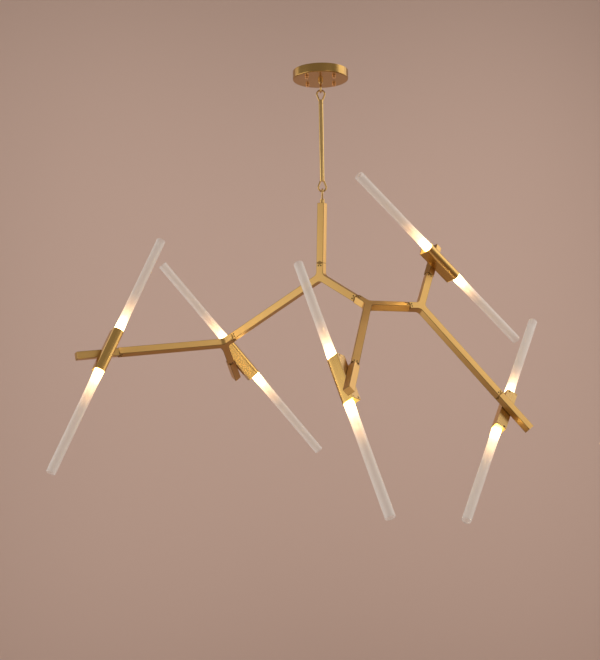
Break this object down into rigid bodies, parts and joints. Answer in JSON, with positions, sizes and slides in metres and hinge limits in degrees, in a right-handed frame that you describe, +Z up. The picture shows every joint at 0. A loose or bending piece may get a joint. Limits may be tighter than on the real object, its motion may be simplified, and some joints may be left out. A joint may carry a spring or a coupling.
{
  "type": "branch chandelier",
  "caption": "Ceiling chandelier of square metal tubes that fork like branches below a ring-hung rod, with swivelling lamps of long open glass tubes at the tips.",
  "frame": {"origin": "centre of the canopy's ceiling face, on the hanging stem's axis", "axes": "+Z up into the ceiling, +X to the right and +Y away from somebody who faces the chandelier as pictured"},
  "size_m": [1.321, 0.9055, 1.2112],
  "materials": {
    "satin_brass": "satin",
    "bright_brass": "polished",
    "zinc_steel": "satin",
    "dark_steel": "satin",
    "white_plastic": "matte",
    "cream_plastic": "matte",
    "frosted_glass": "satin",
    "bulb_glass": "satin"
  },
  "bodies": {
    "canopy": {"canopy_cup": "satin_brass", "mount_plate": "zinc_steel", "canopy_studs": "zinc_steel", "canopy_cap_nuts": "bright_brass", "suspension_ring": "satin_brass", "ring_locknut": "satin_brass", "terminal_block": "white_plastic", "terminal_screws": "satin_brass", "earth_screw": "satin_brass"},
    "rod": {"rod_upper_eye": "satin_brass", "down_rod": "satin_brass", "rod_lower_eye": "satin_brass"},
    "branch": {"drop_eye": "satin_brass", "drop_tube": "satin_brass", "fork_top": "satin_brass", "fork_right": "satin_brass", "fork_far": "satin_brass", "fork_left": "satin_brass", "finger_one": "satin_brass", "finger_two": "satin_brass", "finger_three": "satin_brass", "finger_four": "satin_brass", "finger_five": "satin_brass", "seam_spigots": "satin_brass", "seam_grub_screws": "dark_steel"},
    "lamp_one": {"lamp_one_holder": "satin_brass", "lamp_one_back_plate": "satin_brass", "lamp_one_plate_screws": "satin_brass", "lamp_one_swivel": "dark_steel", "lamp_one_lampholders": "cream_plastic", "lamp_one_bulbs": "bulb_glass", "lamp_one_glass_tubes": "frosted_glass"},
    "lamp_two": {"lamp_two_holder": "satin_brass", "lamp_two_back_plate": "satin_brass", "lamp_two_plate_screws": "satin_brass", "lamp_two_swivel": "dark_steel", "lamp_two_lampholders": "cream_plastic", "lamp_two_bulbs": "bulb_glass", "lamp_two_glass_tubes": "frosted_glass"},
    "lamp_three": {"lamp_three_holder": "satin_brass", "lamp_three_back_plate": "satin_brass", "lamp_three_plate_screws": "satin_brass", "lamp_three_swivel": "dark_steel", "lamp_three_lampholders": "cream_plastic", "lamp_three_bulbs": "bulb_glass", "lamp_three_glass_tubes": "frosted_glass"},
    "lamp_four": {"lamp_four_holder": "satin_brass", "lamp_four_back_plate": "satin_brass", "lamp_four_plate_screws": "satin_brass", "lamp_four_swivel": "dark_steel", "lamp_four_lampholders": "cream_plastic", "lamp_four_bulbs": "bulb_glass", "lamp_four_glass_tubes": "frosted_glass"},
    "lamp_five": {"lamp_five_holder": "satin_brass", "lamp_five_back_plate": "satin_brass", "lamp_five_plate_screws": "satin_brass", "lamp_five_swivel": "dark_steel", "lamp_five_lampholders": "cream_plastic", "lamp_five_bulbs": "bulb_glass", "lamp_five_glass_tubes": "frosted_glass"}
  },
  "joints": [
    {"name": "rod_swing", "type": "hinge", "parent": "canopy", "child": "rod", "pos_m": [0, 0, -0.0585], "axis": [0, 1, 0], "range_deg": [-20, 20]},
    {"name": "branch_tilt", "type": "hinge", "parent": "rod", "child": "branch", "pos_m": [0, 0, -0.3332], "axis": [1, 0, 0], "range_deg": [-20, 20]},
    {"name": "lamp_one_swivel", "type": "hinge", "parent": "branch", "child": "lamp_one", "pos_m": [-0.58396, -0.02932, -0.76587], "axis": [0.4726, -0.8585, 0.1989], "range_deg": [-25, 80]},
    {"name": "lamp_two_swivel", "type": "hinge", "parent": "branch", "child": "lamp_two", "pos_m": [-0.2598, 0.30918, -0.78595], "axis": [0.74, 0.1873, 0.646], "range_deg": [-85, 20]},
    {"name": "lamp_three_swivel", "type": "hinge", "parent": "branch", "child": "lamp_three", "pos_m": [0.04677, -0.35109, -0.84814], "axis": [-0.7429, 0.458, -0.4882], "range_deg": [-35, 4]},
    {"name": "lamp_four_swivel", "type": "hinge", "parent": "branch", "child": "lamp_four", "pos_m": [0.31213, 0.09509, -0.52668], "axis": [0.7133, -0.6584, 0.2401], "range_deg": [-50, 50]},
    {"name": "lamp_five_swivel", "type": "hinge", "parent": "branch", "child": "lamp_five", "pos_m": [0.47771, -0.03854, -0.93032], "axis": [-0.3689, 0.8038, -0.4667], "range_deg": [-15, 60]}
  ]
}
